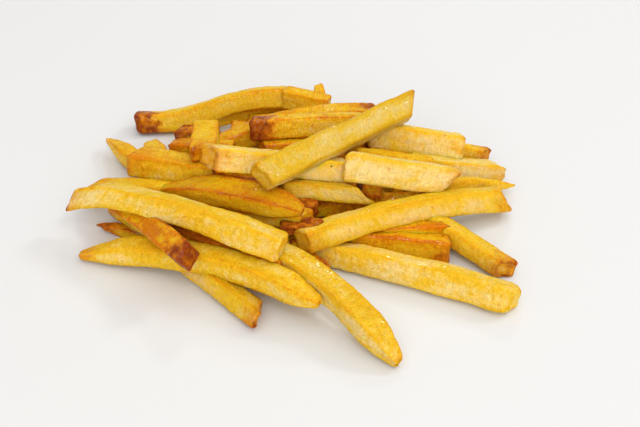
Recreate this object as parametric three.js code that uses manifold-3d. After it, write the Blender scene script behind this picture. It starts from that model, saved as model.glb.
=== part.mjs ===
// A portion of hand-cut french fries, heaped as they lie on a flat surface.
// Millimetres. X runs along the heap, Y to its far side and Z up. The origin is on the surface,
// under the middle of the heap.
import * as THREE from "three";
import { mergeVertices } from "three/addons/utils/BufferGeometryUtils.js";
import Module from "manifold-3d";

const wasm = await Module();
wasm.setup();

// Driving dimensions: a common fry's section, and how far the heap has settled into the surface.
const FRY_WIDTH = 9;
const FRY_DEPTH = 9;
const SETTLE = 0.4;

// The fry's blank: sides round its section, and rings along a straight and a curved one.
const SIDES = 8;
const STRAIGHT_RINGS = 1;
const CURVED_RINGS = 5;
const CORNER_POWER = 0.5;
const EDGE_ANGLE = Math.PI / SIDES;
const MERGE_GAP = 1e-4;

// Ends of a fry: share of the full section left at the very end, and the run to full size.
const CUT_END = { share: 1, run: 8 };
const WORN_END = { share: 0.6, run: 8 };
const BLUNT_TIP = { share: 0.35, run: 18 };
const LONG_TIP = { share: 0.28, run: 30 };
const SHARP_TIP = { share: 0.15, run: 24 };
const SLIM_END = { share: 0.75, run: 90 };
const THICK_END = { share: 0.9, run: 60 };
const ROUND_END = { share: 0.8, run: 6 };

// A drooping start hangs over this share of the fry's length.
const DROOP_SHARE = 0.25;

// Fries that can be seen, from the lowest to the highest. Each lies from one end of its centreline
// to the other: x, y and height. Arch lifts its middle, bow swings its middle to the left of its
// run, sway lifts its first half and lowers its last, droop lets its start hang, and roll turns it
// about its length in degrees. Slant shears an end sideways, and rake makes its lower edge longer.
const FRIES = [
  { name: "front left low", from: [-47, -17, 5], to: [-13, -53, 5], width: 10, roll: -25,
    slantEnd: -4 },
  { name: "front right long", from: [-9, -5, 4], to: [90, -45, 6], width: 12, depth: 12,
    arch: 1, bow: 2, roll: -20, start: SLIM_END, end: ROUND_END },
  { name: "right low", from: [24, -4, 6], to: [67, -11, 5.5], depth: 10.5, roll: -10 },
  { name: "right short", from: [55, 11, 9], to: [90, -24, 5], width: 11, roll: -20 },
  { name: "right glazed strip", from: [38, -3, 10], to: [66, -2, 11], width: 6, depth: 5 },
  { name: "left thin", from: [-88, 9, 3], to: [-46, -1, 3], width: 6, depth: 6, start: BLUNT_TIP },
  { name: "left under", from: [-82, 19, 9], to: [-49, -23, 17], width: 8, depth: 8 },
  { name: "front left long", from: [-93, -12, 3], to: [11, -56, 13], width: 11, depth: 10,
    arch: 5, bow: 8, start: LONG_TIP, end: BLUNT_TIP },
  { name: "front centre chip", from: [-2, -13, 9], to: [13, -23, 5], width: 6, depth: 6 },
  { name: "front centre long", from: [-9, -24, 13], to: [41, -79, 3], width: 11, depth: 10,
    arch: 6, bow: 2, end: BLUNT_TIP },
  { name: "left browned", from: [-75, 8, 14], to: [-41, -40, 24], roll: 30 },
  { name: "far left long", from: [-83, 95, 5.5], to: [-4, 99, 18], width: 11, depth: 10.5,
    sway: -2.5, roll: -20 },
  { name: "far left strip", from: [-45, 96, 6], to: [-1, 105, 13], width: 7, depth: 7 },
  { name: "far left shaded", from: [-60, 82, 7], to: [-38, 74, 12], width: 8, depth: 6 },
  { name: "far short", from: [-7, 95, 20.5], to: [16, 86, 20.5], width: 8, depth: 10 },
  { name: "far upright tip", from: [10, 109, 19], to: [12, 90, 12], width: 7, depth: 6,
    start: WORN_END },
  { name: "left pointed", from: [-95, 78, 6], to: [-61, 32, 10], width: 8, depth: 8,
    start: SHARP_TIP },
  { name: "left end on", from: [-72, 70, 9], to: [-63, 35, 15], width: 12, start: BLUNT_TIP },
  { name: "left small", from: [-59, 47, 21], to: [-28, 39, 24], width: 8, depth: 8,
    start: WORN_END },
  { name: "left middle", from: [-74, 35, 21], to: [-28, 22, 21], width: 12, depth: 11,
    roll: -10 },
  { name: "left across", from: [-42, 54, 28], to: [-41, 26, 31], width: 12, depth: 8 },
  { name: "left golden", from: [-94, 27, 11], to: [-48, 13, 17], depth: 8, arch: 2,
    slant: 4, rake: 4 },
  { name: "middle under", from: [-36, 8, 15], to: [6, -8, 19], width: 9, depth: 8 },
  { name: "middle charred", from: [-30, 18, 15], to: [9, 0, 18], width: 8, depth: 8 },
  { name: "middle burnt chip", from: [-6, -11, 17], to: [13, -13, 20.5], width: 7, depth: 4.5,
    end: WORN_END },
  { name: "middle smooth", from: [-59, 14, 20], to: [4, -9, 24], width: 14, depth: 9,
    arch: 3, bow: 1, start: LONG_TIP, end: BLUNT_TIP },
  { name: "left long", from: [-92, 10, 22], to: [-4, -33, 23], width: 11, depth: 10.5,
    arch: 4, droop: 3.5, roll: -18, start: THICK_END, slant: 6, rake: 3 },
  { name: "middle shaded", from: [31, 31, 8], to: [61, 30, 4], width: 7, depth: 7 },
  { name: "middle golden", from: [-5, 12, 12], to: [59, 20, 8], width: 8, depth: 8 },
  { name: "middle pale", from: [-6, 9, 24], to: [28, 10, 20], width: 8, depth: 8,
    roll: -20, slantEnd: -4, rakeEnd: 4 },
  { name: "right pointed", from: [56, 23, 15], to: [102, 39, 5], width: 8, depth: 7,
    roll: -15, end: SHARP_TIP },
  { name: "right golden", from: [52, 38, 16.5], to: [97, 48, 6], depth: 10, roll: -15,
    end: WORN_END },
  { name: "far right short", from: [59, 62, 13], to: [92, 61, 7], width: 8, depth: 8, roll: -15 },
  { name: "far right wide", from: [35, 55, 23], to: [78, 52, 18], depth: 12, roll: -20 },
  { name: "right strip", from: [27, 34, 25], to: [63, 35, 19], width: 7, depth: 6 },
  { name: "far arched", from: [-37, 48, 20], to: [39, 69, 25], arch: 6 },
  { name: "far orange", from: [-21, 47, 31], to: [32, 54, 30], depth: 10, roll: -18 },
  { name: "right long", from: [3, -18, 15], to: [95, 22, 9], width: 10, depth: 11, arch: 4,
    bow: 1, roll: -20, rakeEnd: 3 },
  { name: "top left", from: [-38, 16, 36], to: [23, 21, 25], width: 10, depth: 10, roll: -18,
    slant: -4 },
  { name: "top right", from: [25, 15, 31], to: [70, 19, 21], width: 10, depth: 13.5,
    roll: -25, end: ROUND_END, slant: 5, rakeEnd: -3 },
  { name: "top diagonal", from: [-14, -2, 37], to: [54, 64, 34], width: 12.5, roll: 35,
    slantEnd: 4 },
];

// Fries that can't be seen, in two layers: rows that run along X, then rows across them.
const ROW = { count: 9, first: 3, pitch: 11.5, height: 4.5, gap: 4, wander: 14, turn: 16 };
const ROW_LEFT = [-56, -58, -60, -58, -56, -52, -50, -26, -26];
const ROW_RIGHT = [44, 56, 62, 66, 66, 62, 54, 40, 22];
const CROSS = { first: -44, pitch: 13, height: 13, lean: 4, wander: 16 };
const CROSS_NEAR = [30, 18, 12, 11, 10, 12, 14, 24];
const CROSS_FAR = [72, 78, 84, 94, 94, 80, 74, 66];
const BURIED = [
  { from: [-18, 55, 20], to: [26, 64, 20] },
  { from: [-16, 43, 22], to: [30, 47, 22], depth: 10 },
  { from: [-20, 31, 22], to: [24, 34, 22], depth: 10 },
  { from: [-36, 17, 24], to: [-8, 13, 24] },
  { from: [-60, 4, 17], to: [-22, -16, 18] },
  { from: [-50, -8, 13], to: [-4, -34, 14] },
];

// The core: a low mound that the hidden fries stand in.
const CORE = { radius: 54, depth: 40, height: 14, middle: [0, 40], sides: 24, steps: 4 };

// A fixed draw between 0 and 1 for a row and a purpose.
function draw(row, purpose) {
  const mixed = Math.sin(12.9898 * row + 78.233 * purpose) * 43758.5453;
  return mixed - Math.floor(mixed);
}

function endShare(distance, end) {
  const part = Math.min(distance / end.run, 1);
  return end.share + (1 - end.share) * Math.sin(part * Math.PI / 2);
}

// Point on a fry's centreline at the share u of its length.
function centre(fry, u) {
  const from = new THREE.Vector3(...fry.from);
  const run = new THREE.Vector3(...fry.to).sub(from);
  const swell = 4 * u * (1 - u);
  const left = new THREE.Vector3(-run.y, run.x, 0).normalize();
  const point = from.addScaledVector(run, u).addScaledVector(left, (fry.bow ?? 0) * swell);
  const hang = Math.max(0, 1 - u / DROOP_SHARE) ** 2;
  const wave = Math.sin(2 * Math.PI * u);
  point.z += (fry.arch ?? 0) * swell + (fry.sway ?? 0) * wave - (fry.droop ?? 0) * hang - SETTLE;
  return point;
}

// One fry: a blank bar of unit size, its round section squared off, bent along the centreline.
function fryGeometry(fry) {
  const width = fry.width ?? FRY_WIDTH;
  const depth = fry.depth ?? FRY_DEPTH;
  const length = Math.hypot(fry.to[0] - fry.from[0], fry.to[1] - fry.from[1]);
  const curved = fry.arch || fry.bow || fry.sway || fry.droop || fry.start || fry.end;
  const rings = curved ? CURVED_RINGS : STRAIGHT_RINGS;
  const blank = new THREE.CylinderGeometry(1, 1, 1, SIDES, rings);
  blank.rotateY(EDGE_ANGLE);
  const roll = THREE.MathUtils.degToRad(fry.roll ?? 0);
  const widest = Math.cos(EDGE_ANGLE) ** CORNER_POWER;
  const square = (value) => Math.sign(value) * Math.abs(value) ** CORNER_POWER / widest;
  const spots = blank.attributes.position;
  for (let i = 0; i < spots.count; i++) {
    const across = square(spots.getX(i));
    const upward = square(spots.getZ(i));
    const level = 0.5 - spots.getY(i);
    const slant = (fry.slant ?? 0) * (1 - level) + (fry.slantEnd ?? 0) * level;
    const rake = (fry.rake ?? 0) * (1 - level) - (fry.rakeEnd ?? 0) * level;
    const u = level + (slant * across + rake * upward) / length;
    const share = endShare(level * length, fry.start ?? CUT_END)
      * endShare((1 - level) * length, fry.end ?? CUT_END);
    const here = centre(fry, u);
    const along = centre(fry, u + 0.001).sub(here).normalize();
    const side = new THREE.Vector3(-along.y, along.x, 0).normalize();
    const up = new THREE.Vector3().crossVectors(along, side);
    const reachSide = across * width / 2 * share;
    const reachUp = upward * depth / 2 * share;
    here.addScaledVector(side, reachSide * Math.cos(roll) - reachUp * Math.sin(roll));
    here.addScaledVector(up, reachSide * Math.sin(roll) + reachUp * Math.cos(roll));
    spots.setXYZ(i, here.x, here.y, here.z);
  }
  return blank;
}

function alongRows() {
  const fries = [];
  for (let row = 0; row < ROW.count; row++) {
    const y = ROW.first + ROW.pitch * row;
    const split = ROW.wander * (draw(row, 1) - 0.5);
    const slope = Math.tan(THREE.MathUtils.degToRad(ROW.turn * (draw(row, 2) - 0.5)));
    const spans = [[ROW_LEFT[row], split - ROW.gap / 2], [split + ROW.gap / 2, ROW_RIGHT[row]]];
    for (const [left, right] of spans) {
      const drop = slope * (right - left) / 2;
      fries.push({ from: [left, y - drop, ROW.height], to: [right, y + drop, ROW.height] });
    }
  }
  return fries;
}

function crossRows() {
  return CROSS_NEAR.map((near, row) => {
    const x = CROSS.first + CROSS.pitch * row;
    const lean = CROSS.lean + CROSS.wander * (draw(row, 3) - 0.5);
    return { from: [x, near, CROSS.height], to: [x + lean, CROSS_FAR[row], CROSS.height] };
  });
}

function coreGeometry() {
  const profile = [new THREE.Vector2(0, 0)];
  for (let step = 0; step <= CORE.steps; step++) {
    const angle = step / CORE.steps * Math.PI / 2;
    const radius = step === CORE.steps ? 0 : CORE.radius * Math.cos(angle);
    profile.push(new THREE.Vector2(radius, CORE.height * Math.sin(angle)));
  }
  const mound = new THREE.LatheGeometry(profile, CORE.sides);
  mound.rotateX(Math.PI / 2);
  mound.scale(1, CORE.depth / CORE.radius, 1);
  mound.translate(CORE.middle[0], CORE.middle[1], -SETTLE);
  return mound;
}

function toSolid(geometry) {
  geometry.deleteAttribute("normal");
  geometry.deleteAttribute("uv");
  const merged = mergeVertices(geometry, MERGE_GAP);
  return new wasm.Manifold(new wasm.Mesh({
    numProp: 3,
    vertProperties: new Float32Array(merged.attributes.position.array),
    triVerts: new Uint32Array(merged.index.array),
  }));
}

function toGeometry(solid) {
  const mesh = solid.getMesh();
  const geometry = new THREE.BufferGeometry();
  geometry.setAttribute("position", new THREE.BufferAttribute(mesh.vertProperties, 3));
  geometry.setIndex(new THREE.BufferAttribute(mesh.triVerts, 1));
  geometry.computeVertexNormals();
  return geometry;
}

// What lies under the surface is cut away, so that the heap rests on flat faces.
function groundGeometry() {
  const span = 400;
  const thick = 20;
  return new THREE.BoxGeometry(span, span, thick).translate(0, 0, -thick / 2);
}

// All fries and the core become one body. Its largest shell is the outside, so keeping that alone
// fills any hollow that the fries close between them.
function heapGeometry() {
  let heap = toSolid(coreGeometry());
  for (const fry of [...FRIES, ...BURIED, ...alongRows(), ...crossRows()]) {
    heap = heap.add(toSolid(fryGeometry(fry)));
  }
  heap = heap.subtract(toSolid(groundGeometry()));
  const shells = heap.decompose().sort((a, b) => b.volume() - a.volume());
  const geometry = toGeometry(shells[0]);
  geometry.computeBoundingBox();
  const middle = geometry.boundingBox.getCenter(new THREE.Vector3());
  geometry.translate(-middle.x, -middle.y, 0);
  return geometry;
}

const fried = new THREE.MeshStandardMaterial({ color: 0xe0a63a, roughness: 0.55, metalness: 0 });
const heap = new THREE.Mesh(heapGeometry(), fried);
heap.name = "fries";

const portion = new THREE.Group();
portion.add(heap);

export default portion;
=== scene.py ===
# %% [markdown]
# # A portion of french fries
# A fry is a bar of potato cut by hand. No two are alike: each has its own length, bend, cut ends and
# tone. They lie in a loose heap, so this lesson writes down where each one lies, bends one blank bar
# along all of those lines with Geometry Nodes, and fries the bars with one procedural material.
# Blender works in metres, and the sizes below are in millimetres, so MM turns one into the other.

# %% Load the frame that the heap has to fit
import math
from dataclasses import dataclass

import bpy
import numpy as np
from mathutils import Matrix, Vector


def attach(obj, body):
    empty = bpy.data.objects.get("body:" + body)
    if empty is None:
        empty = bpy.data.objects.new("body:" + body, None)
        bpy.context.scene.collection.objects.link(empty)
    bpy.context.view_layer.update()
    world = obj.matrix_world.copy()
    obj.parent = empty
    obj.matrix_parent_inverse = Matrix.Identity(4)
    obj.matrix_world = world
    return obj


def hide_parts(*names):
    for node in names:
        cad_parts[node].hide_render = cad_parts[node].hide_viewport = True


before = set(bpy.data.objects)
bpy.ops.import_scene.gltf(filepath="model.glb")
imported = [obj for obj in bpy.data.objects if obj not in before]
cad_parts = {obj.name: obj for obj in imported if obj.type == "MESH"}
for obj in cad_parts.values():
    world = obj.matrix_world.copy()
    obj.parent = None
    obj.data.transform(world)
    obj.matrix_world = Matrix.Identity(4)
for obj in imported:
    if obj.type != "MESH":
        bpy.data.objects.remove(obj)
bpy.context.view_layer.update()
MM = 0.001

# %% [markdown]
# ## Where each fry lies
# A fry is a line from one end to the other, with a width across and a depth upwards. An arch lifts its
# middle, a bow swings it sideways, a sway lifts its first half and lowers its last, a droop lets its
# start hang, and a roll turns it about its length. A slant shears an end sideways, and a rake makes its
# lower edge longer. A tip says how much of the section is left at the very end, and how long the run to
# full size is. Tone goes from 0, pale flesh, to 1, deep orange, and on to 2, brown. Mottle says how
# patchy the skin is, blush turns its flesh from cream to pink, scorch browns the start and the end, and
# light says how bright its flesh is as a whole.

# %% The fry as a record
# Tips: the share of the section left at the very end, and the run to full size in millimetres.
CUT_END = (1.0, 8)
WORN_END = (0.6, 8)
BLUNT_TIP = (0.35, 18)
LONG_TIP = (0.28, 30)
SHARP_TIP = (0.15, 24)
SLIM_END = (0.75, 90)
THICK_END = (0.9, 60)
ROUND_END = (0.8, 6)


@dataclass
class Fry:
    name: str
    start: tuple
    end: tuple
    width: float = 9
    depth: float = 9
    arch: float = 0
    bow: float = 0
    sway: float = 0
    droop: float = 0
    roll: float = 0
    slant: tuple = (0, 0)
    rake: tuple = (0, 0)
    first_tip: tuple = CUT_END
    last_tip: tuple = CUT_END
    tone: float = 0.45
    mottle: float = 1.0
    blush: float = 0
    scorch: tuple = (0.15, 0.15)
    light: float = 1


print("the record of a fry is ready")

# %% The fries that can be seen, pale ones first
PALE = [
    Fry("left long", (-92, 10, 22), (-4, -33, 23), 11, 10.5, arch=4, droop=3.5, roll=-18, slant=(6, 0),
        rake=(3, 0), first_tip=THICK_END, tone=0.04, mottle=1.2, scorch=(0.5, 0.1), light=0.95),
    Fry("top left", (-38, 16, 36), (23, 21, 25), 10, 10, roll=-18, slant=(-4, 0), tone=-0.2,
        scorch=(0.36, 0.1), blush=0.1),
    Fry("top right", (25, 15, 31), (70, 19, 21), 10, 13.5, roll=-25, slant=(5, 0), rake=(0, -3),
        last_tip=ROUND_END, tone=-0.3, mottle=1.2, scorch=(0.1, 0.35), light=0.92),
    Fry("top diagonal", (-14, -2, 37), (54, 64, 34), 12.5, roll=35, slant=(0, 4), tone=-0.1, mottle=0.8,
        scorch=(0.1, 0.25), light=0.8),
    Fry("middle pale", (-6, 9, 24), (28, 10, 20), 8, 8, roll=-20, slant=(0, -4), rake=(0, 4), tone=0.15,
        mottle=0.9, blush=0.1, scorch=(0.1, 0.15), light=0.8),
    Fry("right long", (3, -18, 15), (95, 22, 9), 10, 11, arch=4, bow=1, roll=-20, rake=(0, 3), tone=0.1,
        blush=0.3, scorch=(0.3, 0.35), light=0.93),
    Fry("far right wide", (35, 55, 23), (78, 52, 18), depth=12, roll=-20, tone=-0.15, mottle=1.2,
        scorch=(0.1, 0.2)),
    Fry("far right short", (59, 62, 13), (92, 61, 7), 8, 8, roll=-15, tone=0.3, scorch=(0.1, 0.55)),
    Fry("right golden", (52, 38, 16.5), (97, 48, 6), depth=10, roll=-15, last_tip=WORN_END, tone=-0.25,
        scorch=(0.1, 0.25), light=0.94),
    Fry("front right long", (-9, -5, 4), (90, -45, 6), 12, 12, arch=1, bow=2, roll=-20,
        first_tip=SLIM_END, last_tip=ROUND_END, tone=-0.08, mottle=1.2, scorch=(0.1, 0.05),
        light=0.96),
]
GOLDEN = [
    Fry("front left long", (-93, -12, 3), (11, -56, 13), 11, 10, arch=5, bow=8, first_tip=LONG_TIP,
        last_tip=BLUNT_TIP, tone=0.26, mottle=1.2, scorch=(0.35, 0.05), light=0.96),
    Fry("front centre long", (-9, -24, 13), (41, -79, 3), 11, 10, arch=6, bow=2, last_tip=BLUNT_TIP,
        tone=0.12, mottle=1.2, scorch=(0.1, 0.2), light=0.9),
    Fry("middle smooth", (-59, 14, 20), (4, -9, 24), 14, 9, arch=3, bow=1, first_tip=LONG_TIP,
        last_tip=BLUNT_TIP, tone=0.76, mottle=0.6, scorch=(0.1, 0.25), light=0.88),
    Fry("far left long", (-83, 95, 5.5), (-4, 99, 18), 11, 10.5, sway=-2.5, roll=-20, tone=0.36,
        mottle=0.5, scorch=(1.0, 0.1)),
    Fry("far short", (-7, 95, 20.5), (16, 86, 20.5), 8, 10, tone=0.4),
    Fry("far upright tip", (10, 109, 19), (12, 90, 12), 7, 6, first_tip=WORN_END, tone=0.4),
    Fry("left middle", (-74, 35, 21), (-28, 22, 21), 12, 11, roll=-10, tone=0.5, mottle=1.3, blush=0.25,
        scorch=(0.4, 0.1)),
    Fry("left across", (-42, 54, 28), (-41, 26, 31), 12, 8, tone=0.5, scorch=(0.05, 0.4)),
    Fry("left end on", (-72, 70, 9), (-63, 35, 15), 12, first_tip=BLUNT_TIP, tone=0.5, scorch=(0.1, 0.1)),
    Fry("left pointed", (-95, 78, 6), (-61, 32, 10), 8, 8, first_tip=SHARP_TIP, tone=0.5,
        scorch=(0.4, 0.1)),
    Fry("left golden", (-94, 27, 11), (-48, 13, 17), depth=8, arch=2, slant=(4, 0), rake=(4, 0), tone=0.4,
        scorch=(0.4, 0.2)),
    Fry("middle golden", (-5, 12, 12), (59, 20, 8), 8, 8, tone=0.85),
    Fry("right pointed", (56, 23, 15), (102, 39, 5), 8, 7, roll=-15, last_tip=SHARP_TIP, tone=0.4,
        scorch=(0.1, 0.25)),
    Fry("right strip", (27, 34, 25), (63, 35, 19), 7, 6, tone=0.5),
    Fry("right short", (55, 11, 9), (90, -24, 5), 11, roll=-20, tone=0.2, blush=0.4, scorch=(0.1, 0.5),
        light=0.95),
]
BROWNED = [
    Fry("front left low", (-47, -17, 5), (-13, -53, 5), 10, roll=-25, slant=(0, -4), tone=0.3, blush=0.9,
        scorch=(0.1, 0.55), light=0.9),
    Fry("right low", (24, -4, 6), (67, -11, 5.5), depth=10.5, roll=-10, tone=0.85, scorch=(0.2, 0.55)),
    Fry("right glazed strip", (38, -3, 10), (66, -2, 11), 6, 5, tone=0.8, mottle=0.9, scorch=(0.2, 0.5)),
    Fry("left thin", (-88, 9, 3), (-46, -1, 3), 6, 6, first_tip=BLUNT_TIP, tone=0.9, scorch=(0.8, 0.2)),
    Fry("left under", (-82, 19, 9), (-49, -23, 17), 8, 8, tone=1.1, scorch=(0.2, 0.3)),
    Fry("front centre chip", (-2, -13, 9), (13, -23, 5), 6, 6, tone=0.9, scorch=(0.2, 0.7)),
    Fry("left browned", (-75, 8, 14), (-41, -40, 24), roll=30, tone=0.85, mottle=1.1, scorch=(0.1, 1.0)),
    Fry("far left strip", (-45, 96, 6), (-1, 105, 13), 7, 7, tone=0.7),
    # Painted shade: this fry is toned dark and scorched to stand for the shadow it lies in.
    Fry("far left shaded", (-60, 82, 7), (-38, 74, 12), 8, 6, tone=1.3, scorch=(1.0, 0.3)),
    Fry("left small", (-59, 47, 21), (-28, 39, 24), 8, 8, first_tip=WORN_END, tone=0.75,
        scorch=(0.6, 0.1)),
    Fry("middle under", (-36, 8, 15), (6, -8, 19), 9, 8, tone=0.4, mottle=0.9, scorch=(0.3, 0.4)),
    Fry("middle charred", (-30, 18, 15), (9, 0, 18), 8, 8, tone=1.5, scorch=(0.2, 1.0)),
    Fry("middle burnt chip", (-6, -11, 17), (13, -13, 20.5), 7, 4.5, last_tip=WORN_END, tone=1.9,
        scorch=(1.0, 1.0)),
    # Painted shade: this fry is toned darker to stand for the shadow between the fries above it.
    Fry("middle shaded", (31, 31, 8), (61, 30, 4), 7, 7, tone=0.7, scorch=(0.2, 0.2)),
    Fry("far arched", (-37, 48, 20), (39, 69, 25), arch=6, tone=0.55, blush=0.5, scorch=(0.2, 0.9)),
    Fry("far orange", (-21, 47, 31), (32, 54, 30), depth=10, roll=-18, tone=0.65, mottle=1.4, blush=0.9,
        scorch=(1.0, 0.1)),
]
print(len(PALE), "pale,", len(GOLDEN), "golden and", len(BROWNED), "browned fries can be seen")

# %% [markdown]
# ## The fries underneath
# The rest of the portion lies in two layers that carry the ones above: rows along the heap, then rows
# across them. Nobody looks at each of them, so a rule places them, with a fixed draw in place of a hand.

# %% Two hidden layers by rule
ROW = dict(first=3, pitch=11.5, height=4.5, gap=4, wander=14, turn=16)
ROW_LEFT = [-56, -58, -60, -58, -56, -52, -50, -26, -26]
ROW_RIGHT = [44, 56, 62, 66, 66, 62, 54, 40, 22]
CROSS = dict(first=-44, pitch=13, height=13, lean=4, wander=16)
CROSS_NEAR = [30, 18, 12, 11, 10, 12, 14, 24]
CROSS_FAR = [72, 78, 84, 94, 94, 80, 74, 66]
# Fries underneath get a deeper tone, partly at random and partly as painted shade that grows near the
# front: how deep at least, by chance, and by being near.
HIDDEN_TONE_AND_SHADE = dict(least=0.35, chance=0.3, near=0.55, reach=100)
HIDDEN_SCORCH = 0.5
# What each draw is for, and the numbers that scramble it.
PURPOSE = dict(split=1, turn=2, lean=3, tone=5, first_scorch=6, last_scorch=7)
SCRAMBLE = (12.9898, 78.233, 43758.5453)


def draw(row, purpose):
    """A fixed number between 0 and 1 for a row and a purpose."""
    mixed = math.sin(SCRAMBLE[0] * row + SCRAMBLE[1] * purpose) * SCRAMBLE[2]
    return mixed - math.floor(mixed)


def hidden_fries():
    """Six fries that hold up the middle, then the rows, then the fries across them."""
    fries = [
        Fry("buried far", (-18, 55, 20), (26, 64, 20)),
        Fry("buried middle", (-16, 43, 22), (30, 47, 22), depth=10),
        Fry("buried near", (-20, 31, 22), (24, 34, 22), depth=10),
        Fry("buried top", (-36, 17, 24), (-8, 13, 24)),
        Fry("buried left", (-60, 4, 17), (-22, -16, 18)),
        Fry("buried front", (-50, -8, 13), (-4, -34, 14)),
    ]
    for row, (left, right) in enumerate(zip(ROW_LEFT, ROW_RIGHT)):
        y = ROW["first"] + ROW["pitch"] * row
        split = ROW["wander"] * (draw(row, PURPOSE["split"]) - 0.5)
        slope = math.tan(math.radians(ROW["turn"] * (draw(row, PURPOSE["turn"]) - 0.5)))
        halves = ((left, split - ROW["gap"] / 2), (split + ROW["gap"] / 2, right))
        for side, (a, b) in enumerate(halves):
            drop = slope * (b - a) / 2
            fries.append(Fry(f"row {row} {side}", (a, y - drop, ROW["height"]),
                             (b, y + drop, ROW["height"])))
    for row, (near, far) in enumerate(zip(CROSS_NEAR, CROSS_FAR)):
        x = CROSS["first"] + CROSS["pitch"] * row
        lean = CROSS["lean"] + CROSS["wander"] * (draw(row, PURPOSE["lean"]) - 0.5)
        fries.append(Fry(f"cross {row}", (x, near, CROSS["height"]), (x + lean, far, CROSS["height"])))
    # Painted shade: the fries underneath are toned darker, most of all near the front, for the shade in
    # the gaps between the fries on top.
    for number, fry in enumerate(fries):
        near = 1 - (fry.start[1] + fry.end[1]) / 2 / HIDDEN_TONE_AND_SHADE["reach"]
        chance = draw(number, PURPOSE["tone"])
        fry.tone = HIDDEN_TONE_AND_SHADE["least"] + HIDDEN_TONE_AND_SHADE["chance"] * chance + HIDDEN_TONE_AND_SHADE["near"] * near
        fry.scorch = (HIDDEN_SCORCH * draw(number, PURPOSE["first_scorch"]),
                      HIDDEN_SCORCH * draw(number, PURPOSE["last_scorch"]))
    return fries


HIDDEN = hidden_fries()
print(len(HIDDEN), "fries lie underneath")

# %% [markdown]
# ## Node trees as Python sums
# Geometry and material trees are mostly arithmetic. Wire wraps a socket, so that a line of Python such
# as `1 - mask * 2` adds the Math nodes it stands for. Arrow does the same for vectors. Every other node
# comes from Maker.add, which takes the node's type, its settings and what goes into its sockets.

# %% Wires, arrows and the maker
class Wire:
    """A number on its way through a node tree."""

    def __init__(self, maker, socket):
        self.maker = maker
        self.socket = socket

    def math(self, operation, *others, swap=False):
        values = [*others, self] if swap else [self, *others]
        return self.maker.add("ShaderNodeMath", {"operation": operation}, dict(enumerate(values)))

    def __add__(self, other):
        return self.math("ADD", other)

    def __sub__(self, other):
        return self.math("SUBTRACT", other)

    def __rsub__(self, other):
        return self.math("SUBTRACT", other, swap=True)

    def __mul__(self, other):
        return self.math("MULTIPLY", other)

    def __truediv__(self, other):
        return self.math("DIVIDE", other)

    def __abs__(self):
        return self.math("ABSOLUTE")

    __radd__ = __add__
    __rmul__ = __mul__

    def least(self, other):
        return self.math("MINIMUM", other)

    def most(self, other):
        return self.math("MAXIMUM", other)

    def clamp(self):
        return self.least(1.0).most(0.0)

    def root(self):
        return self.math("SQRT")

    def sine(self):
        return self.math("SINE")

    def cosine(self):
        return self.math("COSINE")


class Arrow:
    """A vector on its way through a node tree."""

    def __init__(self, maker, socket):
        self.maker = maker
        self.socket = socket

    def vector(self, operation, *others):
        return self.maker.add("ShaderNodeVectorMath", {"operation": operation},
                              dict(enumerate([self, *others])), kind=Arrow)

    def __add__(self, other):
        return self.vector("ADD", other)

    def __sub__(self, other):
        return self.vector("SUBTRACT", other)

    def times(self, other):
        return self.vector("MULTIPLY", other)

    def __mul__(self, number):
        return self.maker.add("ShaderNodeVectorMath", {"operation": "SCALE"},
                              {"Vector": self, "Scale": number}, kind=Arrow)

    def cross(self, other):
        return self.vector("CROSS_PRODUCT", other)

    def unit(self):
        return self.vector("NORMALIZE")

    def length(self):
        return self.maker.add("ShaderNodeVectorMath", {"operation": "LENGTH"}, {0: self}, output="Value")

    def parts(self):
        node = self.maker.node("ShaderNodeSeparateXYZ", {}, {0: self})
        return [Wire(self.maker, socket) for socket in node.outputs]


class Maker:
    """Adds nodes to one tree."""

    # Where a Mix node keeps its sockets for colours.
    MIX_FACTOR, MIX_A, MIX_B = 0, 6, 7
    MIX_RESULT = 2

    def __init__(self, tree):
        self.tree = tree

    def node(self, kind, settings, inputs):
        node = self.tree.nodes.new(kind)
        for name, value in settings.items():
            setattr(node, name, value)
        for key, value in inputs.items():
            if hasattr(value, "socket"):
                self.tree.links.new(value.socket, node.inputs[key])
            else:
                node.inputs[key].default_value = value
        return node

    def add(self, type_name, settings, inputs, output=0, kind=Wire):
        return kind(self, self.node(type_name, settings, inputs).outputs[output])

    def combine(self, x, y, z):
        return self.add("ShaderNodeCombineXYZ", {}, {0: x, 1: y, 2: z}, kind=Arrow)

    def noise(self, place, size, detail=2.0, roughness=0.5):
        """Noise between 0 and 1, with features of about one size."""
        return self.add("ShaderNodeTexNoise", {"noise_dimensions": "3D"},
                        {"Vector": place, "Scale": 1 / size, "Detail": detail, "Roughness": roughness})

    def between(self, value, low, high, smooth=True):
        """0 at low and 1 at high."""
        curve = "SMOOTHSTEP" if smooth else "LINEAR"
        return self.add("ShaderNodeMapRange", {"interpolation_type": curve},
                        {"Value": value, "From Min": low, "From Max": high})

    def blend(self, share, first, second):
        """One colour turning into another."""
        node = self.node("ShaderNodeMix", {"data_type": "RGBA", "clamp_factor": True},
                         {self.MIX_FACTOR: share, self.MIX_A: first, self.MIX_B: second})
        return Arrow(self, node.outputs[self.MIX_RESULT])


print("the node maker is ready")

# %% [markdown]
# ## One blank, bent along every line
# A fry is a box with rounded edges whose long axis follows a curve. The tree below starts from points
# that carry each fry's record as attributes. It puts a finely divided cube on each, makes them real,
# and moves every vertex from its place in the cube to its place along the fry. Working this out for
# each vertex is quicker than sweeping seventy curves, and the cube keeps the end faces closed.

# %% Records as points with attributes
# This place in the records above becomes the origin of the heap.
MIDDLE = (0.63, 14.62, 0.4)
# Groups start counting at multiples of this, so that no two fries share a pattern.
NUMBER_STEP = 17


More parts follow.
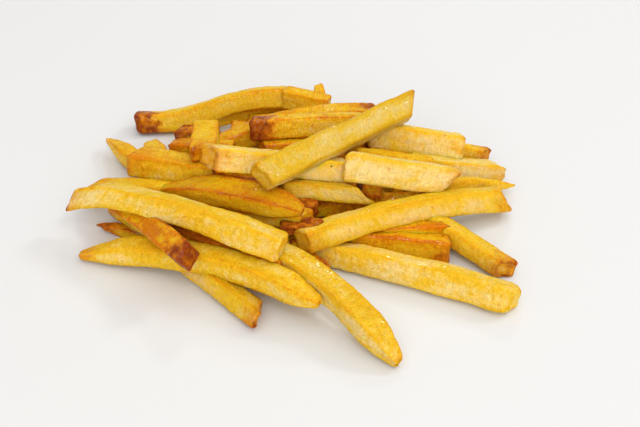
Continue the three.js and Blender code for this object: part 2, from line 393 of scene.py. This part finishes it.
def points_mesh(name, fries):
    """One vertex for each fry, with its record in metres."""
    mesh = bpy.data.meshes.new(name)
    mesh.vertices.add(len(fries))
    shift = np.array(MIDDLE)

    def store(label, rows, scale=1.0):
        attribute = mesh.attributes.new(label, "FLOAT_VECTOR", "POINT")
        attribute.data.foreach_set("vector", (np.array(rows, dtype=float) * scale).ravel())

    store("from", [np.array(f.start) - shift for f in fries], MM)
    store("to", [np.array(f.end) - shift for f in fries], MM)
    store("section", [(f.width, f.depth, 0) for f in fries], MM)
    store("curve", [(f.arch, f.bow, f.droop) for f in fries], MM)
    store("slants", [(f.slant[0], f.slant[1], f.sway) for f in fries], MM)
    store("rakes", [(f.rake[0], f.rake[1], 0) for f in fries], MM)
    store("runs", [(f.first_tip[1], f.last_tip[1], 0) for f in fries], MM)
    store("shares", [(f.first_tip[0], f.last_tip[0], 0) for f in fries])
    number = NUMBER_STEP * len(fries)
    store("looks", [(f.tone, f.scorch[0], f.scorch[1]) for f in fries])
    store("finish", [(f.mottle, f.blush, f.light) for f in fries])
    store("nature", [(number + k, math.radians(f.roll), draw(k, number)) for k, f in enumerate(fries)])
    return mesh


print("the records can be stored as points")

# %% The noises and slow changes of a fry
# Each noise: its stretch along, across and upwards, its size in metres, its detail and its roughness.
NOISES = {
    "sunken face": ((0.6, 1, 1), 0.008, 1.0, 0.5),
    "ripple": ((1, 0.55, 0.55), 0.0022, 3.0, 0.6),
    "ridge": ((0.12, 1, 1), 0.003, 1.0, 0.5),
    "lump": ((0.6, 1, 1), 0.0075, 1.0, 0.5),
    "nick": ((1, 1, 1), 0.003, 2.0, 0.5),
    "wrinkle": ((1, 0.7, 0.7), 0.0014, 4.0, 0.7),
    "streak": ((1, 0.25, 0.25), 0.0011, 2.0, 0.5),
    "pore": ((1, 1, 1), 0.0008, 2.0, 0.5),
    "patch": ((0.45, 1, 1), 0.009, 3.0, 0.6),
    "blotch": ((1, 1, 1), 0.0032, 3.0, 0.5),
    "broken edge": ((0.3, 1, 1), 0.006, 2.0, 0.5),
    "freckle": ((1, 1, 1), 0.003, 2.0, 0.5),
    "speck": ((1, 1, 1), 0.002, 1.0, 0.5),
    "oil": ((1, 1, 1), 0.0012, 3.0, 0.5),
}
# Each slow change along a fry: its place in the noise, and the length over which it comes and goes.
DRIFTS = {
    "width": (1.3, 0.022),
    "depth": (5.1, 0.022),
    "sideways": (9.7, 0.035),
    "upwards": (14.2, 0.035),
    "twist": (3.9, 0.05),
}
SIDEWAYS_DRIFT = 0.0009
UPWARDS_DRIFT = 0.0004
TWIST_DRIFT = 0.16
# What share of the height called Wrinkles each kind of relief gets.
RELIEF = {"ripple": 0.45, "ridge": 0.8, "lump": 0.8}
NICK_RELIEF = 0.5
NICKED_EDGE = (0.55, 0.95)
# Steps that keep the noise of one fry, or of one seed, apart from the next.
FRY_STEP = 0.713
SEED_STEP = 0.37
SPOT_FRY_STEP = 0.083
SPOT_SEED_STEP = 0.01
# The share of rings that are evenly spaced, the least softness of an edge and what chance adds to it,
# how far a rim turns over, and how skewed a cut end can be.
EVEN_RINGS = 0.35
LEAST_SOFTNESS = 0.3
CHANCE_SOFTNESS = 0.45
RIM_DEPTH = 0.9
SKEWED_CUT = 0.004
# How far from an end the skin knows about it, and the height at which a fry rests on the table.
END_ZONE = 0.03
TABLE_TOP = 0.0001


def skin_noise(maker, spot, name):
    """One of the noises above."""
    stretch, size, detail, roughness = NOISES[name]
    return maker.noise(spot.times(stretch), size, detail, roughness)


print(len(NOISES), "noises and", len(DRIFTS), "slow changes")

# %% The tree that bends the blanks
class FryTree:
    """Geometry Nodes that turn points into fries."""

    SIZES = {
        "Rings": ("NodeSocketInt", 110),
        "Sides": ("NodeSocketInt", 12),
        "Edge Softness": ("NodeSocketFloat", 0.5),
        "Rim": ("NodeSocketFloat", 1.8 * MM),
        "Fullness": ("NodeSocketFloat", 1.06),
        "Unevenness": ("NodeSocketFloat", 0.14),
        "Sunken Faces": ("NodeSocketFloat", 0.7 * MM),
        "Wrinkles": ("NodeSocketFloat", 1.3 * MM),
        "Seed": ("NodeSocketInt", 3),
    }

    def __init__(self, material):
        self.tree = bpy.data.node_groups.new("Fries from points", "GeometryNodeTree")
        self.maker = Maker(self.tree)
        face = self.tree.interface
        face.new_socket("Geometry", in_out="INPUT", socket_type="NodeSocketGeometry")
        self.identifiers = {}
        for name, (kind, value) in self.SIZES.items():
            socket = face.new_socket(name, in_out="INPUT", socket_type=kind)
            socket.default_value = value
            self.identifiers[name] = socket.identifier
        face.new_socket("Geometry", in_out="OUTPUT", socket_type="NodeSocketGeometry")
        self.entry = self.tree.nodes.new("NodeGroupInput")
        self.read_record()
        body = self.bend(self.blanks())
        body = self.roughen(self.mark(body))
        self.finish(body, material)

    def size(self, name):
        return Wire(self.maker, self.entry.outputs[name])

    def named(self, label):
        return self.maker.add("GeometryNodeInputNamedAttribute", {"data_type": "FLOAT_VECTOR"},
                              {"Name": label}, kind=Arrow)

    def store(self, geometry, label, value):
        return self.maker.add("GeometryNodeStoreNamedAttribute",
                              {"data_type": "FLOAT_VECTOR", "domain": "POINT"},
                              {"Geometry": geometry, "Name": label, "Value": value})

    def move(self, geometry, **places):
        return self.maker.add("GeometryNodeSetPosition", {}, {"Geometry": geometry, **places})

    def blanks(self):
        maker = self.maker
        sides = self.size("Sides")
        cube = maker.add("GeometryNodeMeshCube", {}, {"Size": (2, 2, 2), "Vertices X": self.size("Rings"),
                                                      "Vertices Y": sides, "Vertices Z": sides})
        copies = maker.add("GeometryNodeInstanceOnPoints", {},
                           {"Points": Wire(maker, self.entry.outputs["Geometry"]), "Instance": cube})
        real = maker.add("GeometryNodeRealizeInstances", {}, {"Geometry": copies})
        place = maker.add("GeometryNodeInputPosition", {}, {}, kind=Arrow)
        return self.store(real, "blank", place)

    def read_record(self):
        """The fry's record, and how far along the fry each vertex lies."""
        self.level, self.across, self.upward = self.named("blank").parts()
        self.start = self.named("from")
        self.run = self.named("to") - self.start
        self.width, self.depth, _ = self.named("section").parts()
        self.arch, self.bow, self.droop = self.named("curve").parts()
        self.slant_first, self.slant_last, self.sway = self.named("slants").parts()
        self.rake_first, self.rake_last, _ = self.named("rakes").parts()
        self.run_first, self.run_last, _ = self.named("runs").parts()
        self.share_first, self.share_last, _ = self.named("shares").parts()
        self.number, self.roll, self.chance = self.named("nature").parts()
        self.length = self.run.times((1, 1, 0)).length()

        # Rings crowd towards the ends, where the rim turns over.
        even = self.level * 0.5 + 0.5
        eased = 0.5 - (even * math.pi).cosine() * 0.5
        self.u = even * EVEN_RINGS + eased * (1 - EVEN_RINGS)
        self.from_first = self.u * self.length
        self.from_last = (1 - self.u) * self.length

    def drift(self, name):
        """A slow change along the fry, from -1 to 1."""
        offset, size = DRIFTS[name]
        place = self.maker.combine(self.from_first, self.number * FRY_STEP + offset,
                                   self.size("Seed") * SEED_STEP)
        return (self.maker.noise(place.times((1 / size, 1, 1)), 1.0, detail=1.0) - 0.5) * 2

    def tip_share(self, distance, run, share):
        """How much of the full section is left near a tip."""
        part = (distance / run).clamp()
        return share + (1 - share) * (part * (math.pi / 2)).sine()

    def rim_turn(self, distance):
        """How far the rim has turned over: 0 on the sides and 1 at the very end."""
        inside = 1 - (distance / self.size("Rim")).clamp()
        return 1 - (1 - inside * inside).root()

    def section(self):
        """How far the vertex lies from the centreline, sideways and upwards."""
        # The square section gets soft edges.
        softness = self.size("Edge Softness") * (LEAST_SOFTNESS + self.chance * CHANCE_SOFTNESS)
        a = self.across * (1 - self.upward * self.upward * softness).root()
        b = self.upward * (1 - self.across * self.across * softness).root()

        # It thins towards the tips, is uneven along the fry, and turns over at the rims.
        uneven = self.size("Unevenness")
        full = self.size("Fullness")
        share = (self.tip_share(self.from_first, self.run_first, self.share_first)
                 * self.tip_share(self.from_last, self.run_last, self.share_last))
        turned = self.rim_turn(self.from_first).most(self.rim_turn(self.from_last)) * RIM_DEPTH
        half_width = self.width * 0.5 * share * (full + uneven * self.drift("width"))
        half_depth = self.depth * 0.5 * share * (full + uneven * self.drift("depth"))
        cut = half_width.least(half_depth).least(self.size("Rim")) * turned
        return a * (half_width - cut), b * (half_depth - cut)

    def bend(self, body):
        """Sets the section along the centreline."""
        level, u, run = self.level, self.u, self.run
        self.reach_side, self.reach_up = self.section()

        # Slants and rakes move a vertex along the fry before the fry is bent.
        slip = self.slant_first * (1 - u) + self.slant_last * u
        slip = slip + (self.chance - 0.5) * SKEWED_CUT * (level * level * level)
        tilt = self.rake_first * (1 - u) - self.rake_last * u
        v = u + (slip * self.across + tilt * self.upward) / self.length

        # The centreline, its direction, and the directions across it. A swell is 0 at both ends and 1
        # in the middle, and its slope is the lean. A droop hangs over the first quarter.
        zenith = self.maker.combine(0.0, 0.0, 1.0)
        swell = v * 4 * (1 - v)
        lean = 4 - v * 8
        left = zenith.cross(run).unit()
        hang = (1 - v * 4).most(0.0)
        rise = self.arch * swell + self.sway * (v * (2 * math.pi)).sine() - self.droop * (hang * hang)
        centre = self.start + run * v + left * (self.bow * swell) + zenith * rise
        centre = centre + left * (self.drift("sideways") * SIDEWAYS_DRIFT)
        centre = centre + zenith * (self.drift("upwards") * UPWARDS_DRIFT)
        along = (run + left * (self.bow * lean) + zenith * (self.arch * lean)).unit()
        side = zenith.cross(along).unit()
        up = along.cross(side)

        turn = self.roll + self.drift("twist") * TWIST_DRIFT
        offset_side = self.reach_side * turn.cosine() - self.reach_up * turn.sine()
        offset_up = self.reach_side * turn.sine() + self.reach_up * turn.cosine()
        return self.move(body, Position=centre + side * offset_side + up * offset_up)

    def mark(self, body):
        """Marks for the material: the place in metres, and how near an edge and an end it is."""
        spot = self.maker.combine(self.from_first + self.number * SPOT_FRY_STEP,
                                  self.reach_side + self.size("Seed") * SPOT_SEED_STEP, self.reach_up)
        near_end = 1 - (self.from_first.least(self.from_last) / END_ZONE).clamp()
        body = self.store(body, "spot", spot)
        body = self.store(body, "skin", self.maker.combine(self.across, self.upward, near_end))
        return self.store(body, "ends", self.maker.combine(self.from_first, self.from_last, self.number))

    def roughen(self, body):
        """Relief along the surface's own normal: sunken faces, wrinkles and lumps, and nicked edges."""
        across, upward, maker = self.across, self.upward, self.maker
        spot = self.named("spot")
        flat = (1 - across * across * upward * upward).clamp()
        edge = maker.between(abs(across * upward), *NICKED_EDGE)
        sunk = self.size("Sunken Faces") * (flat * flat) * skin_noise(maker, spot, "sunken face")
        ripple, ridge, lump = ((skin_noise(maker, spot, name) - 0.5) * share
                               for name, share in RELIEF.items())
        nick = (skin_noise(maker, spot, "nick") - 0.5) * edge * NICK_RELIEF
        relief = self.size("Wrinkles") * (ripple + ridge + lump + nick) - sunk
        normal = maker.add("GeometryNodeInputNormal", {}, {}, kind=Arrow)
        return self.move(body, Offset=normal * relief)

    def finish(self, body, material):
        """What would be under the table is flattened onto it, and the whole gets its material."""
        maker = self.maker
        x, y, z = maker.add("GeometryNodeInputPosition", {}, {}, kind=Arrow).parts()
        body = self.move(body, Position=maker.combine(x, y, z.most(TABLE_TOP)))
        smooth = maker.add("GeometryNodeSetShadeSmooth", {}, {"Geometry": body})
        finished = maker.add("GeometryNodeRealizeInstances", {}, {"Geometry": smooth})
        coloured = maker.add("GeometryNodeSetMaterial", {}, {"Geometry": finished, "Material": material})
        leave = self.tree.nodes.new("NodeGroupOutput")
        self.tree.links.new(coloured.socket, leave.inputs[0])


print("the tree has", len(FryTree.SIZES), "named inputs")

# %% Plain meshes from the tree
KEPT_ATTRIBUTES = {"position", "spot", "skin", "ends", "looks", "finish"}


def fry_piece(name, fries, fry_tree, **sizes):
    """Runs the tree on the records and keeps the result as a plain mesh."""
    source = bpy.data.objects.new(name + "_points", points_mesh(name + "_points", fries))
    bpy.context.scene.collection.objects.link(source)
    modifier = source.modifiers.new("Fries", "NODES")
    modifier.node_group = fry_tree.tree
    for label, value in sizes.items():
        modifier[fry_tree.identifiers[label.replace("_", " ")]] = value
    evaluated = source.evaluated_get(bpy.context.evaluated_depsgraph_get())
    mesh = bpy.data.meshes.new_from_object(evaluated)
    mesh.name = name
    source.modifiers.remove(modifier)
    bpy.data.objects.remove(source)
    for label in [a.name for a in mesh.attributes if a.data_type == "FLOAT_VECTOR"]:
        if label not in KEPT_ATTRIBUTES:
            mesh.attributes.remove(mesh.attributes[label])
    piece = bpy.data.objects.new(name, mesh)
    bpy.context.scene.collection.objects.link(piece)
    mesh.calc_loop_triangles()
    print(f"{name}: {len(fries)} fries, {len(mesh.loop_triangles)} triangles")
    return piece


# %% [markdown]
# ## Fried potato
# A cut face is pale and mottled where the flesh shows through, and golden where the crust has formed.
# The crust is thickest on the edges and at the ends, which turn orange, then dark brown; the edges also
# carry some painted shade. Top faces are painted deeper gold, as painted light, and oil glints on them in
# small patches. Wrinkle valleys are painted darker, as shade. The marks that the tree stored say where all
# of that is.

# %% Colours, and where each begins and ends
CREAM = (0.88, 0.68, 0.27, 1)
PINK = (0.84, 0.53, 0.2, 1)
YELLOW = (0.83, 0.52, 0.022, 1)
GOLD = (0.76, 0.41, 0.003, 1)
ORANGE = (0.64, 0.2, 0.002, 1)
BROWN = (0.24, 0.04, 0.003, 1)
CHAR = (0.05, 0.012, 0.003, 1)

# The crust's scale runs from flesh at -0.5 to brown at 2, with a colour at the end of each stretch.
CRUST_COLOURS = [(-0.5, 0.4, YELLOW), (0.4, 0.95, GOLD), (0.95, 1.4, ORANGE), (1.4, 2.0, BROWN)]
# What each thing adds to the crust. Patches, blotches and valleys are scaled by the fry's mottle; what the
# valleys add is partly painted shade.
UNEVEN = {"patch": 2.2, "blotch": 1.2, "valley": 1.8}
CRUST = {"painted light upper face": 0.24, "outer part and shade": 0.5, "most over tone": 0.62, "edge": 0.35, "cut end": 0.4}
# From where to where each gradual change runs.
BANDS = {
    "edge": (0.84, 0.98),
    "broken edge": (0.42, 0.6),
    "border": (0.7, 1.0),
    "cut end": (0.975, 0.995),
    "painted light upper face": (0.2, 1.0),
    "scorch": (-0.006, 0.006),
    "singed": (0.0022, 0.0004),
    "freckle": (0.66, 0.76),
    "speck": (0.8, 0.83),
    "oil": (0.54, 0.62),
}
# The skin's fine relief, and how far the scorch creeps in metres.
SKIN_HEIGHT = {"wrinkle": 0.4, "streak": 0.2, "pore": 0.4}
CREEP = {"patch": 0.022, "blotch": 0.014, "valley": 0.006}
SCORCH_LENGTH = 0.01
SPECK_SHIFT = (0.5, 0.2, 0.1)
print(len(CRUST_COLOURS), "stretches of crust and", len(BANDS), "gradual changes")


# %% One material, coloured by the marks
def fried_material(name, gloss):
    material = bpy.data.materials.new(name)
    material.use_nodes = True
    tree = material.node_tree
    tree.nodes.clear()
    maker = Maker(tree)

    def mark(label):
        return maker.add("ShaderNodeAttribute", {"attribute_name": label}, {}, output="Vector", kind=Arrow)

    spot = mark("spot")
    across, upward, near_end = mark("skin").parts()
    from_first, from_last, _ = mark("ends").parts()
    tone, scorch_first, scorch_last = mark("looks").parts()
    mottle, blush, light = mark("finish").parts()
    ends = ((from_first, scorch_first), (from_last, scorch_last))

    def noise(label):
        return skin_noise(maker, spot, label)

    def band(value, label):
        return maker.between(value, *BANDS[label])

    # Wrinkles run across the fry. Their crests stay pale, and their valleys turn deeper gold, partly the
    # skin's own mottling and partly painted shade.
    height = (noise("wrinkle") * SKIN_HEIGHT["wrinkle"] + noise("streak") * SKIN_HEIGHT["streak"]
              + noise("pore") * SKIN_HEIGHT["pore"])
    valley = 0.5 - height
    patch = noise("patch") - 0.5
    blotch = noise("blotch") - 0.5

    def mix(shares):
        return patch * shares["patch"] + blotch * shares["blotch"] + valley * shares["valley"]

    # How far the crust has gone: by tone, patches, edges and cut ends, with painted light on the top faces
    # and painted shade in the valleys and towards the edges.
    off_middle = abs(across * upward)
    edge = band(off_middle, "edge") * band(noise("broken edge"), "broken edge")
    crust = tone + mix(UNEVEN) * mottle + band(upward, "painted light upper face") * CRUST["painted light upper face"]
    # Towards the edges the crust deepens, partly as the crust itself and partly as painted shade; the edge
    # band below does the same.
    crust = crust + (off_middle * off_middle) * (off_middle * CRUST["outer part and shade"])
    crust = crust.least(tone + CRUST["most over tone"])
    crust = crust + edge * CRUST["edge"] + band(near_end, "cut end") * CRUST["cut end"]
    base = maker.blend((blush + blotch * blush * 2).clamp(), CREAM, PINK)
    for low, high, colour in CRUST_COLOURS:
        base = maker.blend(maker.between(crust, low, high, smooth=False), base, colour)

    # Scorched ends creep along the edges and in patches, and have a darker rim.
    creep = mix(CREEP)
    first, last = (band(amount * SCORCH_LENGTH - distance + creep, "scorch") * amount
                   for distance, amount in ends)
    scorch = (first + last).clamp()
    base = maker.blend((scorch * 1.4).clamp(), base, ORANGE)
    base = maker.blend((scorch * 1.5 - 0.75 + blotch * 2.2 + valley).clamp(), base, BROWN)
    first, last = (band(distance, "singed") * amount for distance, amount in ends)
    singed = (first + last) * band(abs(across).most(abs(upward)), "border")
    base = maker.blend((singed * 0.9 + singed * blotch * 5).clamp(), base, BROWN)

    # Freckles, and a few burnt specks.
    base = maker.blend(band(noise("freckle"), "freckle") * 0.5, base, ORANGE)
    speck = skin_noise(maker, spot + maker.combine(*SPECK_SHIFT), "speck")
    base = maker.blend(band(speck, "speck") * 0.85, base, CHAR)

    # Painted shade: valleys are darker, and blotches lighten or darken the flesh a little in place of the
    # relief's shading. Each fry has its own brightness.
    base = base * (light * (1 - valley * 0.8 + blotch * 0.15))

    # Oil lies in patches and glints off the wrinkles.
    oil = band(noise("oil"), "oil")
    roughness = 0.5 - oil * 0.2
    bump = maker.add("ShaderNodeBump", {}, {"Strength": 1.0, "Distance": 0.0016, "Height": height},
                     kind=Arrow)
    shader = maker.node("ShaderNodeBsdfPrincipled", {}, {
        "Base Color": base, "Roughness": roughness, "Normal": bump, "Subsurface Weight": 0.7,
        "Subsurface Radius": (1.0, 0.45, 0.1), "Subsurface Scale": 0.0035, "Specular IOR Level": 0.07,
        "Coat Weight": oil * gloss, "Coat Roughness": 0.14})
    output = tree.nodes.new("ShaderNodeOutputMaterial")
    tree.links.new(shader.outputs[0], output.inputs[0])
    return material


pale_finish = fried_material("fries pale", gloss=0.45)
golden_finish = fried_material("fries golden", gloss=0.8)
browned_finish = fried_material("fries browned", gloss=1.0)
print("three finishes of fried potato")

# %% Fry them
pieces = [
    fry_piece("fries_pale", PALE, FryTree(pale_finish), Rings=140, Sides=14),
    fry_piece("fries_golden", GOLDEN, FryTree(golden_finish), Rings=110),
    fry_piece("fries_browned", BROWNED, FryTree(browned_finish), Rings=100),
    fry_piece("fries_underneath", HIDDEN, FryTree(golden_finish), Rings=70, Sides=8),
]

# %% [markdown]
# ## The core
# Under the layers the solid heap has a low mound, so that nothing shows through to the table. Here it
# is a lumpy dome, small enough to stay hidden.

# %% A lumpy dome
CORE = dict(radius=50, depth=36, height=12, middle=(0, 40), rings=10, sides=40)
# Each set of lumps: how high, how many round the dome, and how far they turn from ring to ring.
CORE_LUMPS = ((0.06, 5, 1), (0.05, 9, -2))


def core_piece():
    """A closed dome made ring by ring."""
    vertices = []
    faces = []
    sides = CORE["sides"]
    middle_x, middle_y = (CORE["middle"][axis] - MIDDLE[axis] for axis in (0, 1))
    for ring in range(CORE["rings"]):
        angle = ring / CORE["rings"] * math.pi / 2
        for side in range(sides):
            around = 2 * math.pi * side / sides
            lump = 1
            for size, count, turn in CORE_LUMPS:
                lump += size * math.sin(count * around + turn * ring)
            x = CORE["radius"] * math.cos(angle) * math.cos(around) * lump
            y = CORE["depth"] * math.cos(angle) * math.sin(around) * lump
            z = CORE["height"] * math.sin(angle)
            vertices.append((x + middle_x, y + middle_y, z))
    top = len(vertices)
    vertices.append((middle_x, middle_y, CORE["height"]))
    for ring in range(CORE["rings"] - 1):
        for side in range(sides):
            a = ring * sides + side
            b = ring * sides + (side + 1) % sides
            faces.append((a, b, b + sides, a + sides))
    last = (CORE["rings"] - 1) * sides
    faces += [(last + side, last + (side + 1) % sides, top) for side in range(sides)]
    faces.append(tuple(reversed(range(sides))))
    mesh = bpy.data.meshes.new("fries_core")
    mesh.from_pydata([tuple(v * MM for v in vertex) for vertex in vertices], [], faces)
    mesh.polygons.foreach_set("use_smooth", [True] * len(mesh.polygons))
    piece = bpy.data.objects.new("fries_core", mesh)
    bpy.context.scene.collection.objects.link(piece)
    print("core:", len(faces), "faces")
    return piece


def core_shade_material():
    """Dark orange and brown patches, painted shade for the little that could be seen in a gap."""
    material = bpy.data.materials.new("fries core")
    material.use_nodes = True
    tree = material.node_tree
    tree.nodes.clear()
    maker = Maker(tree)
    place = maker.add("ShaderNodeTexCoord", {}, {}, output="Object", kind=Arrow)
    patches = maker.noise(place, 0.006, detail=3.0)
    base = maker.blend(maker.between(patches, 0.35, 0.65), ORANGE, BROWN)
    bump = maker.add("ShaderNodeBump", {}, {"Strength": 0.6, "Distance": 0.001, "Height": patches},
                     kind=Arrow)
    shader = maker.node("ShaderNodeBsdfPrincipled", {},
                        {"Base Color": base, "Roughness": 0.6, "Normal": bump})
    output = tree.nodes.new("ShaderNodeOutputMaterial")
    tree.links.new(shader.outputs[0], output.inputs[0])
    return material


core = core_piece()
core.data.materials.append(core_shade_material())
pieces.append(core)

# %% [markdown]
# ## Table, light and camera
# The table is plain and nearly white. Most of the light is soft and comes from a wide ceiling panel
# and a panel in front. A small window on the right and two small lamps, one behind and one in front,
# make the glints. A faint warm white comes from all round and warms the shadows. The camera looks
# down at about 36 degrees.

# %% The table
HALF_TABLE = 8.0
TABLE_COLOUR = (0.705, 0.71, 0.715, 1)

table_mesh = bpy.data.meshes.new("table")
corners = [(-HALF_TABLE, -HALF_TABLE, 0), (HALF_TABLE, -HALF_TABLE, 0), (HALF_TABLE, HALF_TABLE, 0),
           (-HALF_TABLE, HALF_TABLE, 0)]
table_mesh.from_pydata(corners, [], [(0, 1, 2, 3)])
table = bpy.data.objects.new("table", table_mesh)
bpy.context.scene.collection.objects.link(table)


def table_material():
    material = bpy.data.materials.new("table")
    material.use_nodes = True
    shader = material.node_tree.nodes["Principled BSDF"]
    shader.inputs["Base Color"].default_value = TABLE_COLOUR
    shader.inputs["Roughness"].default_value = 0.55
    shader.inputs["Specular IOR Level"].default_value = 0.25
    return material


table_mesh.materials.append(table_material())
print("table:", 2 * HALF_TABLE, "m wide")

# %% The light
ROOM = (1.0, 0.94, 0.87, 1)
ROOM_STRENGTH = 0.5
LAMP_COLOUR = (0.985, 0.995, 1.0)

world = bpy.data.worlds.new("room")
world.use_nodes = True
world.node_tree.nodes["Background"].inputs["Color"].default_value = ROOM
world.node_tree.nodes["Background"].inputs["Strength"].default_value = ROOM_STRENGTH
bpy.context.scene.world = world


def panel(name, place, size, power):
    """A square light that faces the heap."""
    light = bpy.data.lights.new(name, "AREA")
    light.size = size
    light.energy = power
    light.color = LAMP_COLOUR
    light_object = bpy.data.objects.new(name, light)
    light_object.location = place
    light_object.rotation_euler = Vector(place).to_track_quat("Z", "Y").to_euler()
    light_object.visible_camera = False
    bpy.context.scene.collection.objects.link(light_object)


# The name of each panel, its place and its width in metres, and its power in watts.
PANELS = [
    ("ceiling", (0.6, -0.9, 3.25), 6, 95),
    ("front", (0.0, -3.0, 1.0), 3.5, 70),
    ("window", (1.5, 0.75, 1.5), 0.36, 9),
    ("far lamp", (0.25, 2.25, 1.75), 0.3, 7),
    ("near lamp", (0.4, -1.6, 2.3), 0.25, 7),
]
for one_panel in PANELS:
    panel(*one_panel)
print(len(PANELS), "panels of light")
bpy.context.scene.view_settings.view_transform = "Standard"

# %% The camera
VIEW_ELEVATION = math.radians(36)
VIEW_DISTANCE = 470
VIEW_TARGET = (11, 6, 12)
LENS = 60
SENSOR_WIDTH = 36
NEAREST = 0.01

camera = bpy.data.cameras.new("camera")
camera.lens = LENS
camera.sensor_width = SENSOR_WIDTH
camera.clip_start = NEAREST
camera_object = bpy.data.objects.new("camera", camera)
camera_object.location = (
    (VIEW_TARGET[0] - MIDDLE[0]) * MM,
    (VIEW_TARGET[1] - MIDDLE[1] - VIEW_DISTANCE * math.cos(VIEW_ELEVATION)) * MM,
    (VIEW_TARGET[2] + VIEW_DISTANCE * math.sin(VIEW_ELEVATION)) * MM,
)
camera_object.rotation_euler = (math.pi / 2 - VIEW_ELEVATION, 0, 0)
bpy.context.scene.collection.objects.link(camera_object)
bpy.context.scene.camera = camera_object
print("camera at", [round(v, 3) for v in camera_object.location])

# %% Hand the pieces to the frame
for piece in pieces:
    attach(piece, "root")
    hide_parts("fries")
